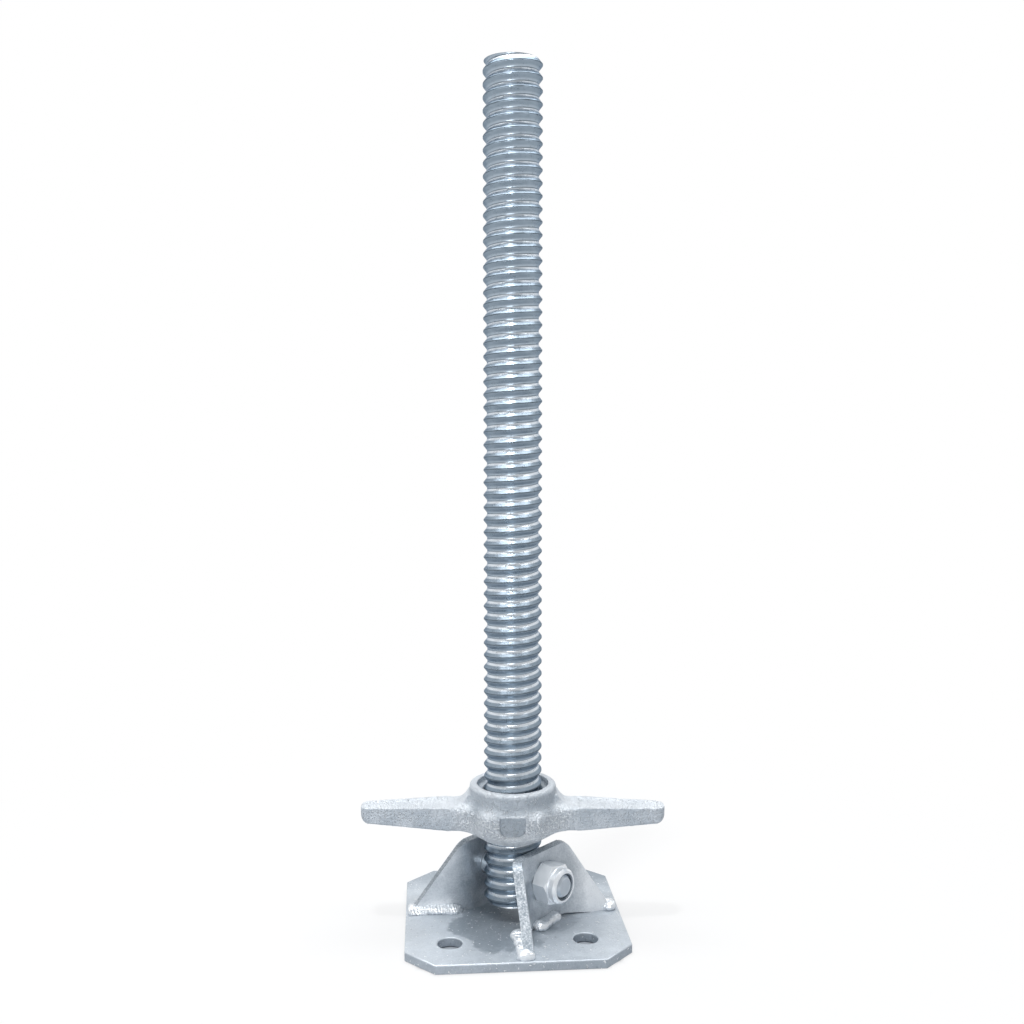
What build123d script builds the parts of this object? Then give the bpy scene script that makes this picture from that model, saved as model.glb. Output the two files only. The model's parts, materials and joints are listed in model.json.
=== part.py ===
from build123d import *
from math import ceil, cos, floor, radians, sin, sqrt, tan
import os

# Swivel base jack: a threaded tube that tilts on a bolt between two folded ears,
# welded across the diagonal of a square plate, with a two-handled nut on the thread.
# Millimetres, +Z up. The origin is the middle of the plate's underside.

# Base plate
plate_side = 141.0
plate_thick = 6.0
plate_corner_cut = 18.5
plate_edge_round = 0.8
hole_spacing = 85.0
hole_dia = 15.5

# Ears: one trapezoid blank each, with its two sides folded outward
ear_thick = 6.0
ear_height = 48.0
ear_half_foot = 50.0
ear_half_tops = (22.5, 28.0)
ear_toe_height = 4.0
ear_toe_drop = 2.6
relief_run = 7.0
relief_rise = 1.4
fold_half_foot = 12.0
fold_half_top = 23.0
front_ear_bends = (33.5, 42.0)
rear_ear_bends = (42.0, 42.0)
fold_inner_radius = 12.0
ear_corner_radius = 10.0
ear_side_clearance = 2.0
diagonal_turn = 45.0

# Threaded tube
tube_dia = 38.0
thread_depth = 2.5
thread_pitch = 8.0
thread_phase = 0.035
tube_bore = 24.0
tube_length = 538.0
tube_foot_gap = 9.0

# Pivot bolt and its lock nut
pivot_height = 28.5
pivot_dia = 16.0
pivot_clearance = 0.08
ear_hole_clearance = 0.4
hex_flats = 24.0
hex_bevel_angle = 30.0
hex_turn = -10.0
bolt_head_height = 10.0
bolt_end_past_nut = 0.5
bolt_end_flat_dia = 10.8
lock_nut_hex_height = 11.2
lock_nut_crown_height = 5.4
lock_nut_crown_dia = 22.4
lock_nut_clearance = 0.05
crown_bevel = 1.4
crown_lip_thick = 1.0
crown_lip_dia = 17.2
ring_height = 3.4
ring_wall = 1.6

# Handled nut, with heights above its own underside
nut_turn = -4.3
nut_rest_gap = 4.4
nut_clearance = 0.35
nut_bottom_dia = 44.0
bowl_waist_dia = 55.0
bowl_waist_height = 8.4
bowl_height = 20.6
belt_dia = 59.0
belt_height = 2.6
collar_foot_dia = 57.8
collar_top_dia = 56.4
nut_height = 35.1
rim_bevel = 1.3
cup_dia = 46.4
cup_depth = 3.8
handle_span = 199.0
handle_tip_top = 19.9
handle_root_top = 21.9
handle_tip_bottom = 10.0
handle_root_bottom = 6.2
handle_tip_width = 15.0
handle_root_width = 26.0
handle_root_reach = 38.0
handle_neck_width = 33.0
handle_neck_reach = 25.0
handle_neck_radius = 9.0
handle_tip_round = 6.0
groove_depth = 0.9
groove_margin = 2.8
groove_end_gap = 5.0
gusset_width = 18.0
gusset_reach = 43.0
gusset_top = 29.5
gusset_hollow = 2.0
under_web_reach = 31.5
under_web_foot = 1.8

# Boss across the nut, with a pocket in its front and back
boss_width = 37.0
boss_depth = 60.0
boss_round = 6.0
boss_foot_dia = 46.0
boss_taper_height = 11.0
pocket_width = 16.6
pocket_depth = 1.3
pocket_bottom = 8.0
pocket_top = 21.6
pocket_corner_radius = 5.0

# Weld beads
bead_radius = 4.0
bead_end_bevel = 1.6
bead_stand_off = 0.8
panel_bead_length = 24.0
side_bead_start = 6.0
side_bead_end = 42.0
tack_length = 8.0

# Places that follow from the sizes above
plate_top = plate_thick
pivot_z = plate_top + pivot_height
ear_inner = tube_dia / 2 + ear_side_clearance
ear_outer = ear_inner + ear_thick
tube_bottom = plate_top + tube_foot_gap
tube_top = tube_bottom + tube_length
nut_bottom = plate_top + ear_height + nut_rest_gap
root_radius = tube_dia / 2 - thread_depth
lock_nut_height = lock_nut_hex_height + lock_nut_crown_height
handle_half = handle_span / 2
rear_ear_turn = diagonal_turn + 180.0

# How near a corner lies to a line for it to count as on it
nearby = 0.01


def bar(radius, start, end):
    """Round bar along Z between two heights."""
    return Solid.make_cylinder(radius, end - start, Plane.XY.offset(start))


def onto_pivot(shape):
    """Lay a shape made along Z on the pivot's line, with its +Z towards the front ear."""
    line = Plane((0, 0, pivot_z), x_dir=(1, 1, 0), z_dir=(1, -1, 0))
    return line.location * shape


def onto_diagonal(shape, turn):
    """Stand a shape made facing -Y on the plate, facing a corner."""
    return Pos(0, 0, plate_top) * Rot(0, 0, turn) * shape


# Base plate
def make_plate():
    outline = Rectangle(plate_side, plate_side)
    outline = chamfer(outline.vertices(), plate_corner_cut)
    plate = extrude(outline, plate_thick)
    rims = plate.edges().filter_by(Plane.XY)
    plate = fillet(rims, plate_edge_round)
    holes = Sketch() + GridLocations(hole_spacing, hole_spacing, 2, 2) * Circle(hole_dia / 2)
    return plate - extrude(holes, plate_thick)


# Ears
def fold_line():
    """The slanted line, on the outer face, that the right-hand wing is folded about."""
    foot = Vector(fold_half_foot, -ear_outer, 0)
    head = Vector(fold_half_top, -ear_outer, ear_height)
    return Axis(foot, head - foot)


def swing(direction, bend):
    """Turn a direction with the right-hand wing as it folds outward."""
    return direction.rotate(Axis((0, 0, 0), fold_line().direction), -bend)


def folded(along, up, bend):
    """Where a point of the flat blank ends up on the folded right-hand wing's outer face."""
    line = fold_line()
    return line.position + swing(Vector(along, -ear_outer, up) - line.position, bend)


def folded_strip(bend):
    """The sheet from its middle to the right-hand wing, drawn square to the fold and run along it."""
    line = fold_line()
    along = line.direction
    half = ear_half_foot + fold_inner_radius
    wing = (half * cos(radians(bend)), -half * sin(radians(bend)))
    through = (ear_thick * sin(radians(bend)), ear_thick * cos(radians(bend)))
    inner_corner = (ear_thick * tan(radians(bend / 2)), ear_thick)
    tip = (wing[0] + through[0], wing[1] + through[1])
    outline = [(-half, 0), (0, 0), wing, tip, inner_corner, (-half, ear_thick)]
    section = make_face(Polyline(*outline, close=True))
    for (x, y), radius in (((0, 0), fold_inner_radius), (inner_corner, fold_inner_radius + ear_thick)):
        corner = section.vertices().sort_by_distance((x, y, 0))[0]
        section = fillet(corner, radius)
    across = Vector(along.Z, 0, -along.X)
    return extrude(Plane(line.position, x_dir=across, z_dir=along) * section, 2 * ear_height, both=True)


def wing_edges(bend, half_top):
    """Planes through the right-hand wing's toe and sloping edge, square to it, facing off it."""
    normal = swing(Vector(0, -1, 0), bend)
    tip = folded(ear_half_foot, -ear_toe_drop, bend)
    toe = folded(ear_half_foot, ear_toe_height - ear_toe_drop, bend)
    head = folded(half_top, ear_height, bend)
    return [Plane(b, z_dir=(b - a).cross(normal)) for a, b in ((tip, toe), (toe, head))]


def foot_waste(bend):
    """What is cut away under the right-hand wing: a relief beside the fold, closing to the toe."""
    far = 2 * ear_half_foot
    slope = (relief_rise + ear_toe_drop) / (ear_half_foot - fold_half_foot - relief_run)
    outline = [
        (fold_half_foot, 0),
        (fold_half_foot + relief_run, relief_rise),
        (far, -ear_toe_drop - slope * (far - ear_half_foot)),
        (far, -ear_height),
        (fold_half_foot, -ear_height),
    ]
    face = make_face(Polyline(*[folded(along, up, bend) for along, up in outline], close=True))
    return extrude(face, 2 * ear_thick, dir=swing(Vector(0, -1, 0), bend), both=True)


def corner_waste(bend, half_top):
    """What is cut away to round the corner between the right-hand wing's free edge and the top."""
    normal = swing(Vector(0, -1, 0), bend)
    head = folded(half_top, ear_height, bend)
    down = (folded(ear_half_foot, ear_toe_height - ear_toe_drop, bend) - head).normalized()
    back = Vector(normal.Y, -normal.X, 0).normalized()
    half_angle = radians(back.get_angle(down) / 2)
    start = head + back * (ear_corner_radius / tan(half_angle))
    end = head + down * (ear_corner_radius / tan(half_angle))
    inward = (back + down).normalized()
    middle = head + inward * ear_corner_radius * (1 / sin(half_angle) - 1)
    off = inward * -ear_corner_radius
    outline = Polyline(start, start + off, end + off, end) + ThreePointArc(end, middle, start)
    return extrude(make_face(outline), 2 * ear_thick, dir=normal, both=True)


def half_ear(bend, half_top):
    """Half of the folded sheet, trimmed to the blank's outline."""
    side = 4 * ear_half_foot
    half = folded_strip(bend) & Pos(0, 0, ear_height / 2) * Box(side, side, ear_height)
    half = split(half, bisect_by=Plane.YZ, keep=Keep.TOP)
    for edge in wing_edges(bend, half_top):
        half = split(half, bisect_by=edge, keep=Keep.BOTTOM)
    return half - corner_waste(bend, half_top) - foot_waste(bend)


def make_ear(bends):
    right, left = [half_ear(bend, half_top) for bend, half_top in zip(bends, ear_half_tops)]
    ear = right + mirror(left, about=Plane.YZ)
    hole = Cylinder(pivot_dia / 2 + ear_hole_clearance, 4 * ear_outer, rotation=(90, 0, 0))
    return ear - Pos(0, 0, pivot_height) * hole


# Weld beads
def bead(start, end):
    """Run of weld metal with bevelled ends, along a corner at the plate."""
    run = end - start
    body = Plane(start, z_dir=run) * bar(bead_radius, 0, run.length)
    return chamfer(body.edges().filter_by(GeomType.CIRCLE), bead_end_bevel)


def wing_at_plate(bend):
    """Fold, outward direction and step through the sheet of the right-hand wing at the plate."""
    normal = swing(Vector(0, -1, 0), bend)
    run = Vector(-normal.Y, normal.X, 0).normalized()
    through = Vector(-normal.X, -normal.Y, 0) * (ear_thick / (1 - normal.Z**2))
    return fold_line().position, run, through


def side_bead(bend):
    """Bead along the inner side of the right-hand wing."""
    fold, run, through = wing_at_plate(bend)
    line = fold + through + through.normalized() * bead_stand_off
    return bead(line + run * side_bead_start, line + run * side_bead_end)


def tack(bend):
    """Short bead across the right-hand wing's tip."""
    fold, run, through = wing_at_plate(bend)
    middle = fold + run * (ear_half_foot - fold_half_foot) + through / 2
    half = through.normalized() * tack_length / 2
    return bead(middle - half, middle + half)


def make_welds(ear, pieces):
    """Beads cut back to the faces that they join, one solid each."""
    half = panel_bead_length / 2
    face = -ear_outer - bead_stand_off
    pieces = [bead(Vector(-half, face, 0), Vector(half, face, 0))] + pieces
    above = Pos(0, 0, bead_radius) * Box(4 * ear_half_foot, 4 * ear_half_foot, 2 * bead_radius)
    return Compound([solid for piece in pieces for solid in ((piece & above) - ear).solids()])


# Threaded tube
def thread_faces(turns):
    """Two flanks for each turn of a right-hand thread, starting at Z = 0 with a root on +X."""
    root = Edge.make_helix(thread_pitch, thread_pitch, root_radius)
    crest = Edge.make_helix(thread_pitch, thread_pitch, tube_dia / 2).moved(Pos(0, 0, thread_pitch / 2))
    next_root = root.moved(Pos(0, 0, thread_pitch))
    lower = Face.make_surface_from_curves(root, crest)
    upper = Face.make_surface_from_curves(crest, next_root)
    places = [Pos(0, 0, turn * thread_pitch) for turn in range(turns)]
    return [flank.moved(place) for place in places for flank in (lower, upper)]


def thread_end(height, is_top):
    """Closes one end of the thread: a level disc, the ramp up to it and the step between turns."""
    root = Edge.make_helix(thread_pitch, thread_pitch, root_radius).moved(Pos(0, 0, height))
    disc_height = height + thread_pitch if is_top else height
    circle = Edge.make_circle(root_radius, Plane.XY.offset(disc_height))
    ramp = Face.make_surface_from_curves(*((root, circle) if is_top else (circle, root)))
    low, crest, high = ((root_radius, 0), (tube_dia / 2, thread_pitch / 2), (root_radius, thread_pitch))
    step = Wire.make_polygon([(x, 0, height + z) for x, z in (low, crest, high)], close=True)
    return [ramp, Face(Wire([circle])), Face(step)]


def make_tube():
    """Threaded bar, cut to length, bored through and drilled for the pivot bolt."""
    spare_turns = 3
    turns = ceil(tube_length / thread_pitch) + spare_turns
    ends = thread_end(0, is_top=False) + thread_end(turns * thread_pitch, is_top=True)
    thread = Solid(Shell(thread_faces(turns) + ends))
    root_height = plate_top + (thread_phase - 0.5) * thread_pitch
    pitches_up = floor((tube_bottom - root_height) / thread_pitch) - 1
    thread = Pos(0, 0, root_height + pitches_up * thread_pitch) * thread
    tube = thread & bar(tube_dia, tube_bottom, tube_top)
    tube -= bar(tube_bore / 2, tube_bottom, tube_top)
    cross_hole = bar(pivot_dia / 2 + pivot_clearance, -tube_dia, tube_dia)
    return tube - onto_pivot(cross_hole)


# Pivot bolt and lock nut, made along Z with the front ear on the +Z side
def bevelled_hex(start, end, bevel_start, bevel_end):
    """Hexagon bar whose chosen ends are turned down to a shallow cone."""
    corner_radius = hex_flats / sqrt(3)
    hexagon = RegularPolygon(corner_radius, 6, rotation=hex_turn)
    drop = (corner_radius - hex_flats / 2) * tan(radians(hex_bevel_angle))
    low = hex_flats / 2 if bevel_start else corner_radius
    high = hex_flats / 2 if bevel_end else corner_radius
    side = [(low, start), (corner_radius, start + drop), (corner_radius, end - drop), (high, end)]
    envelope = revolve(Plane.XZ * make_face(Polyline((0, start), *side, (0, end), close=True)), Axis.Z)
    return extrude(Pos(0, 0, start) * hexagon, end - start) & envelope


def make_bolt():
    shank_end = ear_outer + lock_nut_height + bolt_end_past_nut
    shank = bar(pivot_dia / 2, -ear_outer, shank_end)
    shank = chamfer(shank.edges().sort_by(Axis.Z)[-1], (pivot_dia - bolt_end_flat_dia) / 2)
    head = bevelled_hex(-ear_outer - bolt_head_height, -ear_outer, bevel_start=True, bevel_end=False)
    return onto_pivot(head + shank)


def ring_seat():
    """Heights of the plastic ring's two faces along the pivot, under the crown's lip."""
    top = ear_outer + lock_nut_height - crown_lip_thick
    return top - ring_height, top


def make_lock_nut():
    hex_end = ear_outer + lock_nut_hex_height
    crown_end = ear_outer + lock_nut_height
    nut = bevelled_hex(ear_outer, hex_end, bevel_start=True, bevel_end=True)
    crown = bar(lock_nut_crown_dia / 2, hex_end, crown_end)
    nut += chamfer(crown.edges().sort_by(Axis.Z)[-1], crown_bevel)
    nut -= bar(pivot_dia / 2 + lock_nut_clearance, ear_outer, crown_end)
    nut -= bar(crown_lip_dia / 2, hex_end, crown_end)
    nut -= bar(pivot_dia / 2 + ring_wall, *ring_seat())
    return onto_pivot(nut)


def make_ring():
    ring = bar(pivot_dia / 2 + ring_wall, *ring_seat())
    return onto_pivot(ring - bar(pivot_dia / 2 + lock_nut_clearance, *ring_seat()))


# Handled nut, made with its underside at Z = 0 and its handles along X
def nut_body():
    """Turned shape: a bowl, a belt, and a collar whose top is a shallow cup."""
    bore = tube_dia / 2 + nut_clearance
    cup_floor = nut_height - cup_depth
    belt_top = bowl_height + belt_height
    outline = [
        (nut_bottom_dia / 2, 0),
        (bowl_waist_dia / 2, bowl_waist_height),
        (belt_dia / 2, bowl_height),
        (belt_dia / 2, belt_top),
        (collar_foot_dia / 2, belt_top),
        (collar_top_dia / 2, nut_height),
        (cup_dia / 2, nut_height),
        (cup_dia / 2, cup_floor),
        (bore, cup_floor),
        (bore, 0),
    ]
    body = revolve(Plane.XZ * make_face(Polyline(*outline, close=True)), Axis.Z)
    rims = body.edges().filter_by(GeomType.CIRCLE).group_by(Axis.Z)[-1]
    return chamfer(rims.sort_by(SortBy.RADIUS)[-1], rim_bevel)


def handle_plan(margin=0.0):
    """Boss and handles seen from above, narrowing to the tips, or the same drawn in by a margin."""
    half = handle_half - margin
    boss_front = boss_depth / 2 - margin
    boss_side = boss_width / 2 - margin
    quarter = [
        (half, handle_tip_width / 2 - margin),
        (handle_root_reach, handle_root_width / 2 - margin),
        (handle_neck_reach, handle_neck_width / 2 - margin),
        (boss_side, boss_front),
    ]
    right = [(x, -y) for x, y in reversed(quarter)] + quarter
    left = [(-x, y) for x, y in reversed(right)]
    plan = make_face(Polyline(*right, *left, close=True))
    necks = [v for v in plan.vertices() if abs(abs(v.X) - handle_neck_reach) < nearby]
    plan = fillet(necks, handle_neck_radius)
    shoulders = [v for v in plan.vertices() if abs(abs(v.Y) - boss_front) < nearby]
    plan = fillet(shoulders, boss_round - margin)
    tips = [v for v in plan.vertices() if abs(v.X) > half - nearby]
    return fillet(tips, min(handle_tip_round, handle_tip_width / 2) - margin)


def handle_line(root, tip, x):
    """Height of a handle's edge that runs straight from its root to its tip."""
    share = (x - handle_root_reach) / (handle_half - handle_root_reach)
    return root + (tip - root) * share


def handle_side(top_drop=0.0):
    """Right-hand handle seen from the front, from the middle of the nut to its tip."""
    top = [(x, handle_line(handle_root_top, handle_tip_top, x) - top_drop) for x in (0, handle_half)]
    bottom = [(x, handle_line(handle_root_bottom, handle_tip_bottom, x)) for x in (handle_half, 0)]
    return make_face(Polyline(*top, *bottom, close=True))


def standing(profile, width):
    """Thicken a profile drawn in X and Z evenly to both sides of the XZ plane."""
    return extrude(Plane.XZ * profile, width / 2, both=True)


def under_boss():
    """What the boss's tapered underside leaves free, from the bottom ring outward."""
    outer = boss_foot_dia / 2 + boss_taper_height
    outline = [(boss_foot_dia / 2, 0), (outer, boss_taper_height), (outer, -boss_taper_height)]
    outline += [(boss_foot_dia / 2, -boss_taper_height)]
    ring = revolve(Plane.XZ * make_face(Polyline(*outline, close=True)), Axis.Z)
    return ring & Box(boss_width, 4 * boss_depth, 4 * nut_height)


def handle():
    side = handle_side()
    tip_corners = [v for v in side.vertices() if v.X > handle_half - nearby]
    side = fillet(sorted(tip_corners, key=lambda v: v.Y)[0], handle_tip_round)
    arm = standing(side, 2 * boss_depth) & extrude(handle_plan(), nut_height)
    below = standing(handle_side(groove_depth), 2 * boss_depth)
    length = handle_half - groove_end_gap - gusset_reach
    stretch = Pos(gusset_reach + length / 2, 0, 0) * Box(length, boss_depth, 4 * nut_height)
    channel = extrude(handle_plan(groove_margin), nut_height) & stretch
    return arm - (channel - below) - under_boss()


def gusset():
    """Web that curves from the collar down to the handle's top."""
    foot = handle_line(handle_root_top, handle_tip_top, gusset_reach) - groove_depth
    collar = (collar_foot_dia + collar_top_dia) / 4
    middle = (belt_dia + cup_dia) / 4
    low, high = Vector(gusset_reach, foot), Vector(collar, gusset_top)
    sag = (low + high) / 2 - Vector(1, 1).normalized() * gusset_hollow
    outline = Polyline(high, (middle, gusset_top), (middle, foot), low) + ThreePointArc(low, sag, high)
    return standing(make_face(outline), gusset_width)


def under_web():
    """Swell that carries the bowl's side out to the handle's underside."""
    root = handle_line(handle_root_bottom, handle_tip_bottom, under_web_reach)
    bowl = nut_bottom_dia / 2 + under_web_foot * (bowl_waist_dia - nut_bottom_dia) / 2 / bowl_waist_height
    outline = [(bowl, under_web_foot), (under_web_reach, root), (bowl, root)]
    ring = revolve(Plane.XZ * make_face(Polyline(*outline, close=True)), Axis.Z)
    right = split(extrude(handle_plan(), nut_height), bisect_by=Plane.YZ, keep=Keep.TOP)
    return ring & right


def pocket():
    """Recess in the boss's front."""
    face = Rectangle(pocket_width, pocket_top - pocket_bottom)
    face = fillet(face.vertices().group_by(Axis.Y)[0], pocket_corner_radius)
    place = Pos(0, -boss_depth / 2, (pocket_bottom + pocket_top) / 2) * Rot(90, 0, 0)
    return place * extrude(face, pocket_depth, both=True)


def make_nut():
    arm = handle() + gusset() + under_web()
    nut = nut_body().fuse(arm, mirror(arm, about=Plane.YZ))
    nut = nut - pocket() - mirror(pocket(), about=Plane.XZ)
    nut -= bar(tube_dia / 2 + nut_clearance, 0, nut_height)
    nut -= bar(cup_dia / 2, nut_height - cup_depth, nut_height)
    return Pos(0, 0, nut_bottom) * Rot(0, 0, nut_turn) * nut


# One file for each piece
def save(shape, name):
    export_step(shape, f"parts/{name}.step")


os.makedirs("parts", exist_ok=True)
front_ear, rear_ear = make_ear(front_ear_bends), make_ear(rear_ear_bends)
front_beads = [tack(front_ear_bends[0]), mirror(side_bead(front_ear_bends[1]), about=Plane.YZ)]
rear_beads = [side_bead(rear_ear_bends[0]), mirror(side_bead(rear_ear_bends[1]), about=Plane.YZ)]
save(make_plate(), "base_plate")
save(onto_diagonal(front_ear, diagonal_turn), "front_ear")
save(onto_diagonal(rear_ear, rear_ear_turn), "rear_ear")
save(onto_diagonal(make_welds(front_ear, front_beads), diagonal_turn), "front_ear_welds")
save(onto_diagonal(make_welds(rear_ear, rear_beads), rear_ear_turn), "rear_ear_welds")
save(make_bolt(), "pivot_bolt")
save(make_lock_nut(), "lock_nut")
save(make_ring(), "lock_nut_ring")
save(make_tube(), "threaded_tube")
save(make_nut(), "handled_nut")
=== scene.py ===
# %% [markdown]
# # A swivel base screw jack, dressed for its picture
# The jack arrives as a finished CAD model: every piece sits where it belongs. What is left for
# Blender is what rolling, casting, welding and the zinc bath did to it: rounded thread crests
# with a fine seam, a rough casting, ripples on the welds, and the mottled grey of the zinc.

from contextlib import contextmanager
import json
import math

import bmesh
import bpy
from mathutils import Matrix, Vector


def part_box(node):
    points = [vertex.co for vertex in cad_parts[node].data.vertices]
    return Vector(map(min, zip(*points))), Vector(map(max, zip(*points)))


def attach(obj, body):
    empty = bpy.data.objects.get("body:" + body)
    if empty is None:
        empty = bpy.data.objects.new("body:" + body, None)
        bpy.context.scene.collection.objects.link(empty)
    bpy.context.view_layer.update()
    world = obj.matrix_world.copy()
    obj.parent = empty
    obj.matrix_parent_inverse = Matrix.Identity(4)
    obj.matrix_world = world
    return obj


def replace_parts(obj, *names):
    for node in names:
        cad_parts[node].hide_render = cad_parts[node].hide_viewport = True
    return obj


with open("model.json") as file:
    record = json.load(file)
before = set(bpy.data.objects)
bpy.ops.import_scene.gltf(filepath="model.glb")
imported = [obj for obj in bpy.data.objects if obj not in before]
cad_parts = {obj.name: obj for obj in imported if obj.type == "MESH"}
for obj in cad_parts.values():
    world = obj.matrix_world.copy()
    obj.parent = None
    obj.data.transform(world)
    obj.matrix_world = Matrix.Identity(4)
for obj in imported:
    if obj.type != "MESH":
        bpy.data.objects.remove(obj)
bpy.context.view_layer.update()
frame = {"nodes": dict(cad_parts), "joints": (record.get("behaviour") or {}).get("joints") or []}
nodes = frame["nodes"]
MM = 0.001

# %% [markdown]
# ## The camera
# The photograph was taken from about 0.7 m away, a little left of the jack and looking slightly
# down, so the upright tube narrows towards its foot. A camera at the same place with the same
# angle of view gives the same perspective, which no amount of cropping would. A camera, a lamp
# or a mesh is only data at first; an object puts it into the scene.

# %% Camera
CAMERA_PLACE = Vector((-0.0555, -0.7085, 0.3295))
LOOKS_DOWN = math.radians(4.69)
LOOKS_RIGHT = math.radians(4.44)
FOCAL_LENGTH_IN_PIXELS = 1108.75
PICTURE_WIDTH_IN_PIXELS = 1024
SENSOR_WIDTH_IN_MM = 36


def put_in_scene(name, data):
    made = bpy.data.objects.new(name, data)
    bpy.context.scene.collection.objects.link(made)
    return made


camera_data = bpy.data.cameras.new("camera")
camera_data.sensor_width = SENSOR_WIDTH_IN_MM
camera_data.lens = SENSOR_WIDTH_IN_MM * FOCAL_LENGTH_IN_PIXELS / PICTURE_WIDTH_IN_PIXELS
camera = put_in_scene("camera", camera_data)
camera.location = CAMERA_PLACE
camera.rotation_euler = (math.pi / 2 - LOOKS_DOWN, 0, -LOOKS_RIGHT)
bpy.context.scene.camera = camera
print("lens:", round(camera_data.lens, 2), "mm")

# %% [markdown]
# ## Sums with sockets
# A material is a sum over the surface, and sums read best as sums. `Field` wraps one output
# socket of a node tree, and its operators add the Math nodes. The reflected operators let a plain
# number stand first, as in `1 - mask`.

# %% Field
class Field:
    """One output socket of a tree, ready for use in a sum."""

    def __init__(self, graph, socket):
        self.graph, self.socket = graph, socket

    def __add__(self, other):
        return self.graph.maths("ADD", self, other)

    __radd__ = __add__

    def __sub__(self, other):
        return self.graph.maths("SUBTRACT", self, other)

    def __rsub__(self, other):
        return self.graph.maths("SUBTRACT", other, self)

    def __mul__(self, other):
        return self.graph.maths("MULTIPLY", self, other)

    __rmul__ = __mul__

    def __truediv__(self, other):
        return self.graph.maths("DIVIDE", self, other)

    def __rtruediv__(self, other):
        return self.graph.maths("DIVIDE", other, self)

    def __pow__(self, other):
        return self.graph.maths("POWER", self, other)

    def __abs__(self):
        return self.graph.maths("ABSOLUTE", self)

    def at_least(self, other):
        return self.graph.maths("MAXIMUM", self, other)


print("Field is ready")

# %% [markdown]
# `Graph` adds every other node: its type, then its settings, then its sockets, because a setting
# such as a Mix node's data type decides which sockets there are. Vectors and colours have their
# own nodes, since a Math node would turn them grey. The same pair serves geometry trees.

# %% Graph
class Graph:
    """Adds nodes to one tree."""

    def __init__(self, tree):
        self.tree = tree

    def node(self, kind, settings=None, sockets=None):
        made = self.tree.nodes.new(kind)
        for name, value in (settings or {}).items():
            setattr(made, name, value)
        for key, value in (sockets or {}).items():
            self.feed(made.inputs[key], value)
        return made

    def feed(self, socket, value):
        if isinstance(value, Field):
            self.tree.links.new(value.socket, socket)
        else:
            socket.default_value = value

    def field(self, kind, settings=None, sockets=None, output=0):
        return Field(self, self.node(kind, settings, sockets).outputs[output])

    def maths(self, operation, *values):
        return self.field("ShaderNodeMath", {"operation": operation}, dict(enumerate(values)))

    def vector(self, operation, first, second, output="Vector"):
        return self.field("ShaderNodeVectorMath", {"operation": operation}, {0: first, 1: second}, output)

    def scaled(self, vector, factor):
        return self.field("ShaderNodeVectorMath", {"operation": "SCALE"}, {0: vector, "Scale": factor})

    def split(self, vector):
        """The x, y and z of a vector."""
        parts = self.node("ShaderNodeSeparateXYZ", sockets={0: vector})
        return [Field(self, socket) for socket in parts.outputs]

    def blend(self, share, first, second):
        """Mix of two colours."""
        sockets = {"Factor": share, 6: first, 7: second}
        return self.field("ShaderNodeMix", {"data_type": "RGBA"}, sockets, output=2)

    def ramp(self, value, low, high):
        """0 below low, 1 above high and a smooth step between them."""
        sockets = {"Value": value, "From Min": low, "From Max": high}
        return self.field("ShaderNodeMapRange", {"interpolation_type": "SMOOTHSTEP"}, sockets)


print("Graph is ready")

# %% [markdown]
# ## A surface to start from
# Nearly every finish here is zinc over steel, so they share one start: a Principled shader, the
# object's own coordinates in metres, and a few helpers for noise and relief. Object coordinates
# stay with the piece when it moves, which camera coordinates would not.

# %% Finish
class Finish(Graph):
    """A material with a Principled shader, and the patterns that the finishes share."""

    def __init__(self, name, metallic=0.0):
        material = bpy.data.materials.new(name)
        material.use_nodes = True
        super().__init__(material.node_tree)
        self.material = material
        self.shader = self.tree.nodes["Principled BSDF"]
        self.shader.inputs["Metallic"].default_value = metallic
        self.place = self.field("ShaderNodeTexCoord", output="Object")

    def attribute(self, name):
        """A value that the mesh itself carries."""
        return self.field("ShaderNodeAttribute", {"attribute_name": name}, output="Fac")

    def noise(self, size, detail=2.0, stretch=(1, 1, 1)):
        """Smooth noise from 0 to 1, whose patches are about size metres across."""
        place = self.vector("MULTIPLY", self.place, stretch)
        sockets = {"Vector": place, "Scale": 1 / size, "Detail": detail}
        return self.field("ShaderNodeTexNoise", sockets=sockets)

    def lay(self, color, roughness, relief, depth):
        """Connect the surface's colour, roughness and relief."""
        bump = self.field("ShaderNodeBump", sockets={"Height": relief, "Distance": depth})
        for name, value in (("Base Color", color), ("Roughness", roughness), ("Normal", bump)):
            self.feed(self.shader.inputs[name], value)
        return self.material


print("Finish is ready")

# %% [markdown]
# Zinc is grey with a little blue in it, more so where it is dark. One function gives every grey
# of the jack, so that they stay related.

# %% Zinc greys
def grey(level, blue=None):
    """A zinc grey at a linear brightness; the darker, the bluer, unless the blue is given."""
    blue = 0.2 - 0.18 * level if blue is None else blue
    return (level * (1 - blue), level, level * (1 + blue), 1.0)


print("grey(0.5) is", [round(c, 3) for c in grey(0.5)])

# %% [markdown]
# ## Galvanised sheet
# The plate and ears were dipped in molten zinc. It runs off in sheets and freezes in patches
# with soft edges, and small beads and pits stay in it. The plate lay flat as it drained, so it
# kept more of them; the ears stood upright and ran clean. One recipe serves both: each piece
# gives its own tone, and the recipe breaks that tone up and adds the beads and pits.

# %% Galvanised sheet
def sheet_finish(name, metallic):
    """A sheet's skin with the noises that the plate and ears share, from wide to fine."""
    skin = Finish(name, metallic)
    skin.wide = skin.noise(50 * MM, detail=3)
    skin.small = skin.noise(6 * MM, detail=5)
    skin.grain = skin.noise(1.1 * MM, detail=4)
    return skin


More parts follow.
